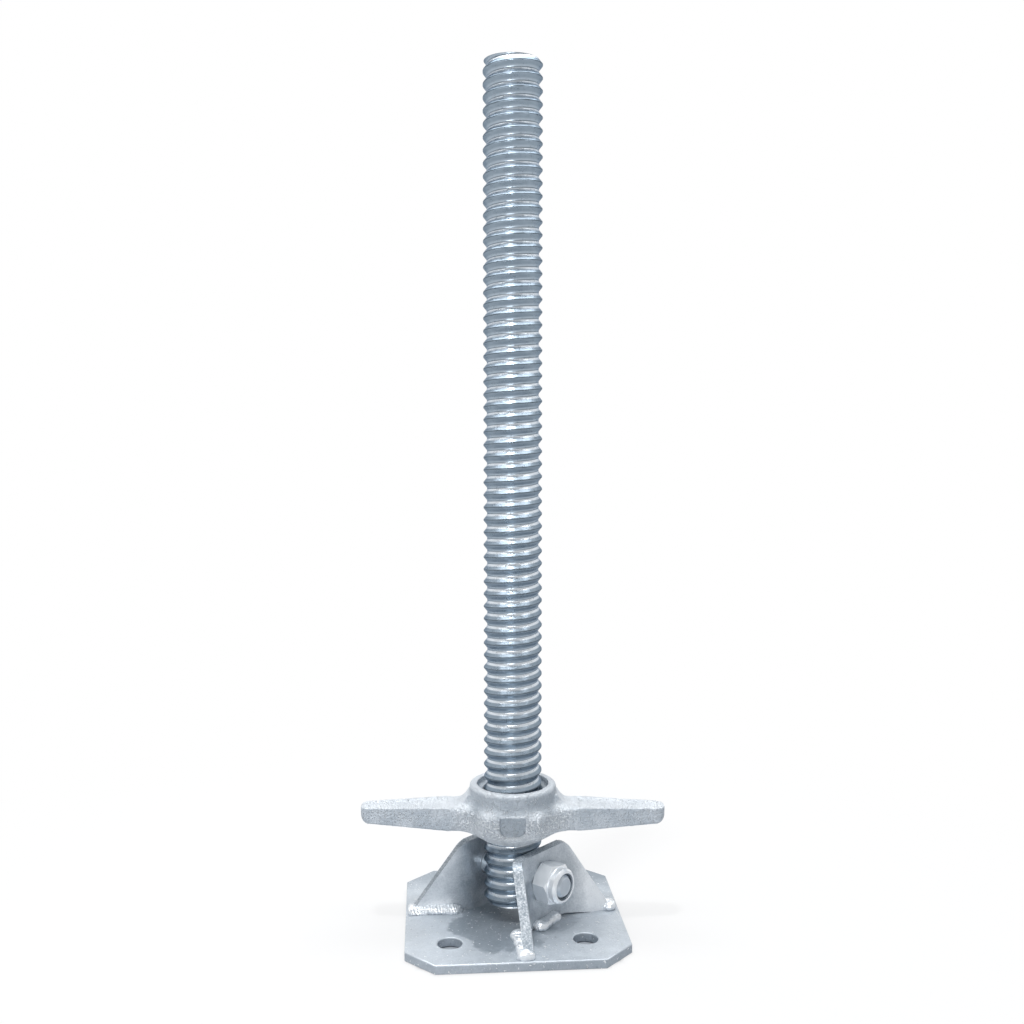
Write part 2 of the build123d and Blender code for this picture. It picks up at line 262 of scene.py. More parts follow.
def lay_sheet(skin, tone, dark, light, specks, roughness):
    """Finish a sheet from a tone that runs from 0, dark, to 1, light."""
    tone = tone + (skin.small - 0.5) * 0.5 + (skin.grain - 0.5) * 0.55
    color = skin.blend(tone.at_least(0.0), grey(dark), grey(light))
    beads = skin.ramp(skin.noise(1.7 * MM, detail=2), 0.67, 0.71) * specks
    color = skin.blend(beads, color, grey(1.0))
    pits = skin.ramp(skin.noise(2.4 * MM, detail=3), 0.68, 0.74) * specks
    color = skin.blend(pits * 0.4, color, grey(dark * 0.6))
    roughness = roughness + 0.1 * skin.small + 0.08 * skin.grain
    relief = skin.small * 0.5 + skin.grain * 0.2 + beads * 0.6
    return skin.lay(color, roughness, relief, depth=0.6 * MM)


print("ready for sheet")

# %% [markdown]
# The plate's middle, between the ears round the tube's foot, is painted darker, as a painted
# shadow of the nut and a painted reflection of the dark tube, while the rest is pale. The line
# between the two wanders, so the distance from the middle gets noise added before it is turned
# into a tone. The left side is painted lighter, and the rear half and the faces round the plate's
# edge darker, as painted light and shade.

# %% Plate
plate_low, plate_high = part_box("base_plate")
PAINTED_SHADE_MIDDLE = (-6 * MM, -14 * MM)
PAINTED_SHADE_REACH = (34 * MM, 47 * MM)
REAR_HALF = (20 * MM, 60 * MM)
EDGE_FACES_TOP = (plate_high.z - 1.2 * MM, plate_high.z - 0.5 * MM)


def galvanised_plate():
    skin = sheet_finish("galvanised_plate", metallic=0.35)
    x, y, z = skin.split(skin.place)
    east, north = [(place - middle) / reach
                   for place, middle, reach in zip((x, y), PAINTED_SHADE_MIDDLE, PAINTED_SHADE_REACH)]
    ragged = skin.noise(14 * MM, detail=5)
    away = (east ** 2 + north ** 2) ** 0.5 + (ragged - 0.5) * 1.1
    pale = skin.ramp(away, 0.86, 1.02)
    left = 1 - 0.32 * skin.ramp(east, -0.6, 1.0)
    rear = skin.ramp(y, *REAR_HALF)
    edge_faces = 1 - skin.ramp(z, *EDGE_FACES_TOP)
    # painted shade: the dark middle, the rear half and the edge faces; painted light: the left side
    tone = 0.16 + pale * (0.75 * left - 0.7 * rear) - edge_faces * 0.35 + (skin.wide - 0.5) * 0.6
    return lay_sheet(skin, tone, dark=0.34, light=0.68, specks=1.0, roughness=0.3)


plate_zinc = galvanised_plate()
print("made", plate_zinc.name)

# %% [markdown]
# On the ears, the flat panels are painted darker than the wings folded out beside them: painted
# shade on the panels, which lie in the nut's shade, and painted light on the wings, which face the
# light. Both ears run along one diagonal of the plate, so the distance along it tells panel from
# wing. Where the sheet was cut, its edge is rougher and blotched with grey: the mesh marks those
# faces with an attribute, `cut`, which is made together with the ears further down.

# %% Ears
WING_START = (20 * MM, 34 * MM)


def galvanised_ear():
    skin = sheet_finish("galvanised_ear", metallic=0.6)
    x, y, _ = skin.split(skin.place)
    along = (x + y) * math.sqrt(0.5)
    wing = skin.ramp(abs(along), *WING_START)
    cut = skin.attribute("cut")
    blotches = (skin.grain - 0.54) * 1.8
    # painted light on the wings, painted shade on the flat panels
    tone = 0.28 + 0.66 * wing * (1 - cut) + (skin.wide - 0.5) * 0.8 + cut * blotches
    return lay_sheet(skin, tone, dark=0.35, light=0.92, specks=0.2, roughness=0.26 + 0.2 * cut)


ear_zinc = galvanised_ear()
print("made", ear_zinc.name)

# %% [markdown]
# ## Galvanised weld
# Weld metal is rougher and brighter than the sheet beside it, because the zinc clings to its
# ripples. The ripples themselves are geometry, so that their outline shows too; the material adds
# only a pale grain and a few sooty spots.

# %% Galvanised weld
def galvanised_weld():
    skin = Finish("galvanised_weld", metallic=0.6)
    grain = skin.noise(1.8 * MM, detail=4)
    soot = skin.ramp(skin.noise(4 * MM, detail=3), 0.56, 0.7)
    color = skin.blend(grain, grey(0.76), grey(1.0))
    color = skin.blend(soot * 0.45, color, grey(0.4))
    return skin.lay(color, 0.24 + 0.16 * grain, grain, depth=0.2 * MM)


weld_zinc = galvanised_weld()
print("made", weld_zinc.name)

# %% [markdown]
# ## Rolled thread
# A rolled thread is smooth along its run: the dies press the steel out to its crests, where two
# lips of metal meet in a fine dark seam. A painted highlight lies white on the upper flank by each
# root, dimmer low down where the nut shades it, and a painted reflection of that flank lightens
# the hanging flank just above the root; the rest is grey. All of this follows the thread, not the
# tube, so the mesh carries its own attribute, `lane`, which runs from 0 at one root over the crest
# at a half to 1 at the next root above.

# %% Rolled thread
SHADED_BY_NUT = (85 * MM, 120 * MM)


def rolled_thread():
    skin = Finish("rolled_thread", metallic=0.85)
    skin.shader.inputs["Specular Tint"].default_value = (0.4, 0.46, 0.54, 1.0)
    lane = skin.attribute("lane")
    height = skin.split(skin.place)[2]
    seam = 1 - skin.ramp(abs(lane - 0.5), 0.012, 0.045)
    # painted highlight on the upper flank by each root, dimmed low down as painted shade under the nut
    root = skin.ramp(lane, 0.73, 0.84) + 1 - skin.ramp(lane, 0.02, 0.07)
    painted_highlight = root * (0.55 + 0.33 * skin.ramp(height, *SHADED_BY_NUT))
    # painted reflection of the white flank below, on the hanging flank just above the root
    painted_reflection = 1 - skin.ramp(lane, 0.1, 0.26)
    streaks = skin.noise(5 * MM, detail=4, stretch=(1, 1, 2.5))
    pits = skin.ramp(skin.noise(1.3 * MM, detail=3), 0.64, 0.7)
    color = skin.blend(streaks, grey(0.26, blue=0.21), grey(0.42, blue=0.17))
    color = skin.blend(painted_reflection * 0.4, color, grey(0.7, blue=0.12))
    color = skin.blend(painted_highlight, color, grey(0.98, blue=0.05))
    color = skin.blend(seam * 0.8, color, grey(0.1, blue=0.2))
    color = skin.blend(pits * 0.4, color, grey(0.14, blue=0.2))
    relief = skin.noise(2.2 * MM, detail=4) * 0.5 - pits * 0.4
    return skin.lay(color, 0.22 + 0.14 * streaks, relief, depth=0.2 * MM)


thread_zinc = rolled_thread()
print("made", thread_zinc.name)

# %% [markdown]
# ## Galvanised casting
# The nut was cast in sand, so its skin is grainy before the zinc goes on. Round the hub's belly
# the zinc lies in pale flakes, and the belly is painted lighter still, most at the foot, as
# painted light from the floor below. The collar above it is darker, and the pocket in the hub is
# painted dark as painted shade in its recess. Upward faces are painted lighter, as painted light
# from above. Each of these places is a mask from 0 to 1, found from the piece's own coordinates or
# from an attribute, `pocket` or `upward`, that the casting's mesh gets when it is made.

# %% Places on the casting
nut_low, nut_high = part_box("handled_nut")


def on_nut(*heights_in_mm):
    """Heights above the nut's lowest point."""
    return [nut_low.z + height * MM for height in heights_in_mm]


HUB_FOOT = on_nut(5.6, 19.6)
FLAKES_TOP = on_nut(16.6, 23.6)
COLLAR_START, COLLAR_END = on_nut(22.6, 26.6), on_nut(32.1, 33.6)
FLAKES_REACH = (28 * MM, 46 * MM)
COLLAR_REACH = (22 * MM, 30 * MM)


def casting_masks(skin):
    """How much a point belongs to the flaked belly, the foot, and the collar."""
    x, _, height = skin.split(skin.place)
    belly = (1 - skin.ramp(height, *FLAKES_TOP)) * (1 - skin.ramp(abs(x), *FLAKES_REACH))
    foot = 1 - skin.ramp(height, *HUB_FOOT)
    collar = skin.ramp(height, *COLLAR_START) * (1 - skin.ramp(height, *COLLAR_END))
    return belly, foot, collar * (1 - skin.ramp(abs(x), *COLLAR_REACH))


print("the hub's flakes end at", round(FLAKES_TOP[1] / MM, 1), "mm above the floor")

# %% [markdown]
# The finish itself goes over these places from wide to fine: patches all over, the darker collar
# and the pocket's painted shade, pale specks, then the belly's flakes with their painted light and
# the painted light on upward faces.

# %% Galvanised casting
def galvanised_casting():
    skin = Finish("galvanised_casting")
    belly, foot, collar = casting_masks(skin)
    pocket, upward = skin.attribute("pocket"), skin.attribute("upward")
    flaked = belly * (1 - pocket)
    patches = skin.ramp(skin.noise(12 * MM, detail=4), 0.3, 0.7)
    grain = skin.noise(1.3 * MM, detail=5)
    flakes = skin.ramp(skin.noise(1.4 * MM, detail=5), 0.4, 0.62)
    specks = skin.ramp(skin.noise(1.2 * MM, detail=3), 0.56, 0.66)
    color = skin.blend(patches, grey(0.58), grey(0.74))
    # the collar is darker; the pocket gets painted shade
    color = skin.blend(collar * 0.5 + pocket * 0.6, color, grey(0.4))
    color = skin.blend(specks * 0.4, color, grey(1.0))
    # pale flakes, with painted light from the floor on the belly, most at the foot
    pale = flakes.at_least(foot * (0.6 + 0.4 * grain))
    color = skin.blend(flaked, color, skin.blend(pale, grey(0.66), grey(1.0, blue=0.04)))
    # painted light on upward faces
    lit = skin.ramp(upward, 0.45, 0.9) * (1 - collar)
    color = skin.blend(lit * 0.4, color, grey(0.9, blue=0.04))
    skin.feed(skin.shader.inputs["Metallic"], 0.1 + 0.1 * flaked * flakes)
    return skin.lay(color, 0.42 + 0.16 * grain, grain + specks * 0.5 + flakes * flaked, depth=0.8 * MM)


cast_zinc = galvanised_casting()
print("made", cast_zinc.name)

# %% [markdown]
# ## Zinc-plated fastener and its plastic ring
# Bolts and nuts are plated thinly and smoothly, so they are glossier than the dipped steel. The
# bolt's end, where it was cropped, is darker than the nut. The ring that stops the nut from
# shaking loose is plain moulded plastic.

# %% Fastener and ring
def plated_fastener(name, dark, light):
    skin = Finish(name, metallic=0.6)
    patches = skin.noise(6 * MM, detail=4)
    color = skin.blend(patches, grey(dark), grey(light))
    return skin.lay(color, 0.2 + 0.1 * patches, skin.noise(1.6 * MM, detail=3), depth=0.02 * MM)


def moulded_plastic():
    skin = Finish("moulded_plastic")
    clouds = skin.noise(3 * MM)
    color = skin.blend(clouds, grey(0.14), grey(0.24))
    return skin.lay(color, 0.5 + 0.1 * clouds, clouds, depth=0.1 * MM)


nut_zinc = plated_fastener("plated_nut_zinc", dark=0.82, light=0.98)
bolt_zinc = plated_fastener("plated_bolt_zinc", dark=0.48, light=0.64)
ring_plastic = moulded_plastic()
print("made", nut_zinc.name, bolt_zinc.name, "and", ring_plastic.name)

# %% [markdown]
# ## Dress the CAD pieces
# Every CAD piece gets its finish first, so that none is left bare if nothing replaces it. The
# ring inside the lock nut keeps its CAD mesh to the end.

# %% Finishes on the CAD pieces
FINISH_OF_NODE = {
    "base_plate": plate_zinc,
    "front_ear": ear_zinc,
    "rear_ear": ear_zinc,
    "front_ear_welds": weld_zinc,
    "rear_ear_welds": weld_zinc,
    "pivot_bolt": bolt_zinc,
    "lock_nut": nut_zinc,
    "lock_nut_ring": ring_plastic,
    "threaded_tube": thread_zinc,
    "handled_nut": cast_zinc,
}
for name, material in FINISH_OF_NODE.items():
    nodes[name].data.materials.clear()
    nodes[name].data.materials.append(material)
print("dressed", len(FINISH_OF_NODE), "pieces")

# %% [markdown]
# ## Copies to work on
# A CAD mesh is never changed, so each piece that needs softer edges starts as a copy. The CAD
# triangles are loose, so the copy is merged first. `edited` opens a mesh for such work and writes
# it back. `plain` turns what the modifiers make into an ordinary mesh.

# %% Copies
MERGE_DISTANCE = 0.003 * MM


@contextmanager
def edited(mesh):
    """A mesh opened as a bmesh, and written back at the end."""
    shape = bmesh.new()
    shape.from_mesh(mesh)
    yield shape
    shape.to_mesh(mesh)
    shape.free()


def merged_copy(node, name):
    """A copy of a CAD piece, with its loose triangles joined."""
    mesh = nodes[node].data.copy()
    mesh.name = name
    with edited(mesh) as shape:
        bmesh.ops.remove_doubles(shape, verts=shape.verts, dist=MERGE_DISTANCE)
    return put_in_scene(name, mesh)


def plain(piece):
    """Replace an object's mesh by what its modifiers make of it, and remove them."""
    bpy.context.view_layer.update()
    evaluated = piece.evaluated_get(bpy.context.evaluated_depsgraph_get())
    mesh = bpy.data.meshes.new_from_object(evaluated)
    piece.modifiers.clear()
    piece.data = mesh
    return piece


def report(piece):
    triangles = sum(len(p.vertices) - 2 for p in piece.data.polygons)
    print(piece.name, triangles, "triangles")
    return piece


print("copies are merged within", MERGE_DISTANCE / MM, "mm")

# %% [markdown]
# ## Rounded edges
# Sheared and drilled steel has a small burr, and the zinc bath rounds it. That thin rounded
# edge is what catches the light along the ears and the holes. A bevel on the sharp edges makes
# it, and weighted normals keep the wide flat faces beside it flat.

# %% Rounded edges
SHARP_ANGLE = math.radians(38)
STEPS_IN_A_ROUND = 3


def rounded(node, name, radius, above):
    """A copy of a CAD piece whose sharp edges above a height are rounded off."""
    piece = merged_copy(node, name)
    with edited(piece.data) as shape:
        sharp = [edge for edge in shape.edges
                 if len(edge.link_faces) == 2 and edge.calc_face_angle() > SHARP_ANGLE
                 and min(v.co.z for v in edge.verts) > above]
        bmesh.ops.bevel(shape, geom=sharp, offset=radius, segments=STEPS_IN_A_ROUND, profile=0.5,
                        affect="EDGES", clamp_overlap=True)
    piece.data.shade_smooth()
    piece.data.set_sharp_from_angle(angle=SHARP_ANGLE)
    piece.modifiers.new("normals", "WEIGHTED_NORMAL").keep_sharp = True
    return report(plain(piece))


print("edges sharper than", round(math.degrees(SHARP_ANGLE)), "degrees are rounded")

# %% [markdown]
# ## The ears' cut edges
# The ears' material asks which faces are cut edges. Such a face looks the way of neither the
# panel nor the wing beside it. Those two ways are found from the mesh, on each side of the ear:
# they are the ones that cover the most area. Two ways are compared by the cosine between them.

# %% Cut edges
SAME_WAY_COSINE = 0.97
ON_SHEET_COSINE = 0.82


def main_directions(polygons):
    """The two directions that cover the most area: a panel's, and its wing's."""
    covered = []
    for polygon in sorted(polygons, key=lambda p: -p.area):
        known = next((c for c in covered if abs(c[1].dot(polygon.normal)) > SAME_WAY_COSINE), None)
        if known:
            known[0] += polygon.area
        else:
            covered.append([polygon.area, polygon.normal.copy()])
    return [direction for _, direction in sorted(covered, key=lambda c: -c[0])[:2]]


def mark_cut_edges(mesh):
    """Mark the faces of a folded sheet that look sideways out of the sheet, for the material."""
    values = [0.0] * len(mesh.polygons)
    for wing in (-1, 1):
        here = [p for p in mesh.polygons if (p.center.x + p.center.y) * wing > 0]
        sides = main_directions(here)
        for polygon in here:
            on_sheet = any(abs(polygon.normal.dot(side)) >= ON_SHEET_COSINE for side in sides)
            values[polygon.index] = 0.0 if on_sheet else 1.0
    mesh.attributes.new("cut", "FLOAT", "FACE").data.foreach_set("value", values)
    return round(sum(values))


EAR_EDGE_RADIUS = 0.9 * MM
for node, name in (("front_ear", "folded_front_ear"), ("rear_ear", "folded_rear_ear")):
    ear = rounded(node, name, EAR_EDGE_RADIUS, above=plate_high.z + 1 * MM)
    print(name, "has", mark_cut_edges(ear.data), "cut faces")
    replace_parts(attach(ear, "base"), node)

# %% [markdown]
# ## Plate and fasteners
# The plate's rim and holes are rounded all over, down to its underside. The bolt and lock nut
# are turned and forged parts, whose edges are only just broken.

# %% Plate and fasteners
HOLE_EDGE_RADIUS = 0.7 * MM
foot_plate = rounded("base_plate", "foot_plate", HOLE_EDGE_RADIUS, above=-1 * MM)
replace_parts(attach(foot_plate, "base"), "base_plate")

FASTENER_EDGE_RADIUS = 0.35 * MM
for node, name in (("pivot_bolt", "plated_bolt"), ("lock_nut", "plated_lock_nut")):
    fastener = rounded(node, name, FASTENER_EDGE_RADIUS, above=0.0)
    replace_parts(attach(fastener, "base"), node)

# %% [markdown]
# ## Trees that make meshes
# What repeats or follows a rule is grown by Geometry Nodes. Each tree gets named inputs for its
# sizes and ends in Realize Instances and Set Material. `grown` sets a modifier's inputs by each
# socket's identifier before the object is first evaluated, and then makes the result plain.

# %% Open and close a tree
SOCKET_KINDS = {float: "NodeSocketFloat", int: "NodeSocketInt", tuple: "NodeSocketVector"}


def open_tree(name, takes_mesh=False, **inputs):
    """A new geometry tree with a named input for each size, and those inputs as fields."""
    tree = bpy.data.node_groups.new(name, "GeometryNodeTree")
    if takes_mesh:
        tree.interface.new_socket("mesh", in_out="INPUT", socket_type="NodeSocketGeometry")
    for key, value in inputs.items():
        socket = tree.interface.new_socket(key, in_out="INPUT", socket_type=SOCKET_KINDS[type(value)])
        socket.default_value = value
    tree.interface.new_socket("material", in_out="INPUT", socket_type="NodeSocketMaterial")
    tree.interface.new_socket("result", in_out="OUTPUT", socket_type="NodeSocketGeometry")
    graph = Graph(tree)
    given = graph.node("NodeGroupInput")
    return graph, {socket.name: Field(graph, socket) for socket in given.outputs if socket.name}


def close_tree(graph, mesh, material):
    real = graph.field("GeometryNodeRealizeInstances", sockets={"Geometry": mesh})
    dressed = graph.field("GeometryNodeSetMaterial", sockets={"Geometry": real, "Material": material})
    graph.node("NodeGroupOutput", sockets={"result": dressed})
    return graph.tree


def grown(piece, tree, **values):
    """The piece's mesh, as the tree makes it from the named inputs."""
    modifier = piece.modifiers.new("tree", "NODES")
    modifier.node_group = tree
    for item in tree.interface.items_tree:
        if item.in_out == "INPUT" and item.name in values:
            modifier[item.identifier] = values[item.name]
    return plain(piece)


print("ready to grow")

# %% [markdown]
# Three steps come back in the trees: noise that swings round zero, moving every point along its
# own normal, and keeping a value on each point for a material to read.

# %% Steps that the trees share
def swing(graph, place, per_metre):
    """Noise round zero, with a number of swells to the metre."""
    sockets = {"Vector": place, "Scale": per_metre, "Detail": 3.0}
    return graph.field("ShaderNodeTexNoise", sockets=sockets) - 0.5


def lifted(graph, mesh, distance):
    """The mesh with every point moved along its normal."""
    offset = graph.scaled(graph.field("GeometryNodeInputNormal"), distance)
    return graph.field("GeometryNodeSetPosition", sockets={"Geometry": mesh, "Offset": offset})


def kept_on_points(graph, mesh, name, value):
    """The mesh with a value stored on its points."""
    return graph.field("GeometryNodeStoreNamedAttribute", {"data_type": "FLOAT", "domain": "POINT"},
                       {"Geometry": mesh, "Name": name, "Value": value})


print("shared steps are ready")

# %% [markdown]
# ## The casting's skin
# A sand casting has no sharp edge and no smooth face. A tree lifts and sinks every point along
# its normal by two scales of noise, a slow swell and a fine grain. The same tree presses the
# small pocket into the front and back of the hub, with a distance that is below zero inside the
# pocket's outline and above zero outside it, and raises a thin lip over the pocket's top.

# %% Tree for the skin
FRONT_RUN = 2 * MM
LIP_FLAT_SHARE = 0.4
LIP_RISE_SHARE = 0.8


def pocket_outline(take, across, height):
    """Distance to the pocket's outline, which has a flat top and a rounded bottom."""
    beside = (abs(across) - (take["pocket_half_width"] - take["pocket_round"])).at_least(0.0)
    below = (take["pocket_low"] + take["pocket_round"] - height).at_least(0.0)
    rounded_side = (beside ** 2 + below ** 2) ** 0.5 - take["pocket_round"]
    return rounded_side.at_least(height - take["pocket_high"])


def skin_tree():
    graph, take = open_tree(
        "cast_skin", takes_mesh=True, turn=0.0, grain_size=1.6 * MM, grain_depth=0.2 * MM,
        swell_size=9 * MM, swell_depth=0.4 * MM, pocket_depth=1.3 * MM, pocket_half_width=8.3 * MM,
        pocket_low=66 * MM, pocket_high=80 * MM, pocket_round=5 * MM, pocket_edge=0.4 * MM,
        front_start=20 * MM, lip=0.8 * MM, lip_run_out=1 * MM)
    place = graph.field("GeometryNodeInputPosition")
    settings = {"rotation_type": "Z_AXIS"}
    straight = graph.field("ShaderNodeVectorRotate", settings, {"Vector": place, "Angle": take["turn"]})
    across, deep, height = graph.split(straight)

    outline = pocket_outline(take, across, height)
    front = graph.ramp(abs(deep), take["front_start"], take["front_start"] + FRONT_RUN)
    inside = (1 - graph.ramp(outline, -1 * take["pocket_edge"], take["pocket_edge"])) * front
    over = abs(height - take["pocket_high"] - take["lip"])
    lip_end = [take["pocket_half_width"] + way * take["lip_run_out"] for way in (-1, 1)]
    lip = 1 - graph.ramp(over, take["lip"] * LIP_FLAT_SHARE, take["lip"])
    lip = lip * (1 - graph.ramp(abs(across), *lip_end)) * take["lip"] * LIP_RISE_SHARE

    grain = swing(graph, place, 1 / take["grain_size"]) * take["grain_depth"]
    swell = swing(graph, place, 1 / take["swell_size"]) * take["swell_depth"]
    distance = grain + swell + lip - inside * take["pocket_depth"]
    skin = lifted(graph, take["mesh"], distance)
    skin = kept_on_points(graph, skin, "pocket", inside)
    upward = graph.split(graph.field("GeometryNodeInputNormal"))[2]
    return close_tree(graph, kept_on_points(graph, skin, "upward", upward), take["material"])


cast_skin = skin_tree()
print("skin tree has", len(cast_skin.nodes), "nodes")

# %% [markdown]
# ## Even squares
# Smoothing needs points everywhere, and CAD triangles are long and thin. A voxel remesh lays
# even small squares over the shape first. A vertex group then says how strongly each point is
# smoothed, so that one place can be rounded more than another.

# %% Remesh and smooth
def soften(piece, square, rounds, weight=None):
    """Remesh a closed piece into even squares and smooth its edges."""
    remesh = piece.modifiers.new("squares", "REMESH")
    remesh.mode, remesh.voxel_size = "VOXEL", square
    plain(piece)
    smoothing = piece.modifiers.new("smooth", "SMOOTH")
    smoothing.factor, smoothing.iterations = 0.5, rounds
    if weight:
        group = piece.vertex_groups.new(name="soft")
        for vertex in piece.data.vertices:
            group.add([vertex.index], weight(vertex.co), "REPLACE")
        smoothing.vertex_group = group.name
    plain(piece)
    piece.vertex_groups.clear()
    return piece


print("ready to soften")

# %% [markdown]
# ## The handled nut
# The hub's belly was rounded by hand in the pattern, so it flows into the handles without an
# edge, while the collar above it and the handles keep theirs. The weights say so: full below the
# belt and near the hub, little everywhere else, and little in the bore, which has to stay round.

# %% Weights for the belly
BELLY_BOTTOM, BELLY_TOP = on_nut(0.5, 3), on_nut(23, 28)
BELLY_REACH = (30 * MM, 44 * MM)
BORE_WALL = (20.5 * MM, 22.5 * MM)
LEAST_WEIGHT = 0.02


def smooth_step(value, low, high):
    share = min(max((value - low) / (high - low), 0.0), 1.0)
    return share * share * (3 - 2 * share)


def belly_weight(place):
    below_top = 1 - smooth_step(place.z, *BELLY_TOP)
    above_bottom = smooth_step(place.z, *BELLY_BOTTOM)
    near = 1 - smooth_step(abs(place.x), *BELLY_REACH)
    outside = smooth_step(math.hypot(place.x, place.y), *BORE_WALL)
    return LEAST_WEIGHT + (1 - LEAST_WEIGHT) * below_top * above_bottom * near * outside


print("the belly reaches", round(BELLY_REACH[1] / MM), "mm from the middle")

# %% [markdown]
# The nut stands slightly turned on the tube, so the pocket's outline is turned with it. The
# skin's swells could push a point past the CAD shape's own limits, so every point is kept inside
# the box of the CAD piece.

# %% Handled nut
NUT_TURN = math.radians(-4.3)
POCKET_LOW, POCKET_HIGH = on_nut(8, 20.4)

cast_nut = soften(merged_copy("handled_nut", "cast_nut"), square=0.55 * MM, rounds=300, weight=belly_weight)
cast_nut = grown(
    cast_nut, cast_skin, material=cast_zinc, turn=-NUT_TURN, grain_size=1.7 * MM, grain_depth=0.3 * MM,
    swell_size=8 * MM, swell_depth=0.3 * MM, pocket_depth=2.2 * MM, pocket_half_width=8.0 * MM,
    pocket_low=POCKET_LOW, pocket_high=POCKET_HIGH, lip=1.0 * MM)
for vertex in cast_nut.data.vertices:
    vertex.co = [min(max(c, low), high) for c, low, high in zip(vertex.co, nut_low, nut_high)]
cast_nut.data.shade_smooth()
report(cast_nut)
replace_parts(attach(cast_nut, "nut"), "handled_nut")

# %% [markdown]
# ## Weld beads
# A hand-laid bead is a row of overlapping pools of metal, each a little larger or smaller than
# the last. A tree sets a flattened ball on every point of a line along the bead, with sizes that
# vary from a fixed seed, and joins them to the CAD bead. The remesh then melts them together.

# %% Tree for the pools
POOL_SHAPE = (1.0, 1.0, 0.6)


def pool_tree():
    graph, take = open_tree(
        "weld_pools", takes_mesh=True, start=(0.0, 0.0, 0.0), end=(1.0, 0.0, 0.0),
        pools=12, radius=3.4 * MM, variation=0.12, end_size=1.1, seed=1)
    stride = graph.scaled(graph.vector("SUBTRACT", take["end"], take["start"]), 1 / (take["pools"] - 1))
    line = graph.field("GeometryNodeMeshLine", {"mode": "OFFSET"}, {
        "Count": take["pools"], "Start Location": take["start"], "Offset": stride})
    from_middle = abs(graph.field("GeometryNodeInputIndex") / (take["pools"] - 1) * 2 - 1)
    swollen = 1 + (take["end_size"] - 1) * from_middle ** 6
    chance = graph.field(
        "FunctionNodeRandomValue", {"data_type": "FLOAT"},
        {2: 1 - take["variation"], 3: 1 + take["variation"], "Seed": take["seed"]}, output=1)
    ball = graph.field("GeometryNodeMeshIcoSphere", sockets={"Radius": take["radius"], "Subdivisions": 4})
    pools = graph.field("GeometryNodeInstanceOnPoints", sockets={
        "Points": line, "Instance": ball, "Scale": graph.scaled(POOL_SHAPE, chance * swollen)})
    both = graph.node("GeometryNodeJoinGeometry")
    for part in (take["mesh"], pools):
        graph.feed(both.inputs[0], part)
    return close_tree(graph, Field(graph, both.outputs[0]), take["material"])


weld_pools = pool_tree()
print("pool tree has", len(weld_pools.nodes), "nodes")

# %% [markdown]
# ## Ripples
# Each pool froze as a fine crescent against the one before. A second tree raises them: a wave of
# the distance run along the bead, held back at the sides so that it bends, and made uneven by
# noise.

# %% Tree for the ripples
GRAINS_TO_THE_METRE = 380.0


def ripple_tree():
    graph, take = open_tree(
        "weld_ripples", takes_mesh=True, start=(0.0, 0.0, 0.0), along=(1.0, 0.0, 0.0),
        spacing=2.2 * MM, ripple_depth=0.19 * MM, grain_depth=0.08 * MM, bend=0.9, unevenness=1.6)
    place = graph.field("GeometryNodeInputPosition")
    reach = graph.vector("SUBTRACT", place, take["start"])
    run = graph.vector("DOT_PRODUCT", reach, take["along"], output="Value")
    across = graph.vector("CROSS_PRODUCT", reach, take["along"])
    aside = graph.vector("LENGTH", across, (0, 0, 0), output="Value")
    grain = swing(graph, place, GRAINS_TO_THE_METRE)
    turns = (run + aside * take["bend"]) / take["spacing"] + grain * take["unevenness"]
    wave = graph.maths("SINE", turns * (2 * math.pi))
    rippled = lifted(graph, take["mesh"], wave * take["ripple_depth"] + grain * take["grain_depth"])
    return close_tree(graph, rippled, take["material"])


weld_ripples = ripple_tree()
print("ripple tree has", len(weld_ripples.nodes), "nodes")

# %% [markdown]
# ## Beads, one by one
# Each ear's welds are three separate beads, and every bead runs its own way. So the CAD piece is
# parted into its loose shells first. The search starts from the lowest point number each time,
# so that the beads, and the seeds they get, come in the same order in every run.

# %% Part the beads
def loose_parts(piece):
    """A mesh for each separate shell of a piece, in the order of their first vertices."""
    neighbours = [set() for _ in piece.data.vertices]
    for edge in piece.data.edges:
        one, other = edge.vertices
        neighbours[one].add(other)
        neighbours[other].add(one)
    left, meshes = set(range(len(neighbours))), []
    while left:
        shell, found = set(), {min(left)}
        while found:
            shell |= found
            found = set().union(*(neighbours[i] for i in found)) - shell
        left -= shell
        mesh = piece.data.copy()
        mesh.name = f"{piece.name}_{len(meshes)}"
        with edited(mesh) as part:
            others = [v for v in part.verts if v.index not in shell]
            bmesh.ops.delete(part, geom=others, context="VERTS")
        meshes.append(mesh)
    return meshes


def long_axis(mesh):
    """Both ends of a line through the middle of a long mesh."""
    places = [v.co.copy() for v in mesh.vertices]
    middle = sum(places, Vector()) / len(places)
    one = max(places, key=lambda p: (p - middle).length)
    other = max(places, key=lambda p: (p - one).length)
    half = (other - one) / 2
    return middle - half, middle + half


def joined(name, pieces, material):
    """One object with the meshes of several, which are removed, in one material."""
    mesh = bpy.data.meshes.new(name)
    with edited(mesh) as shape:
        for piece in pieces:
            shape.from_mesh(piece.data)
            bpy.data.objects.remove(piece)
        for face in shape.faces:
            face.material_index = 0
    mesh.materials.append(material)
    return put_in_scene(name, mesh)


print("ready to part and join")

# %% [markdown]
# Every bead now gets its pools and its ripples along its own length, and the three are joined
# again. The outermost pools would hang over the plate's edge, so their coordinates are squashed
# towards it, and nothing sinks deeper than half the plate.

# %% Welds
POOL_RADIUS = 4.7 * MM
POOL_SPACING = 1.5 * MM
POOL_INSET = 4.6 * MM
EDGE_MARGIN = 0.5 * MM
EDGE_SQUASH = 4.0 * MM
WELD_DEPTH = 3 * MM


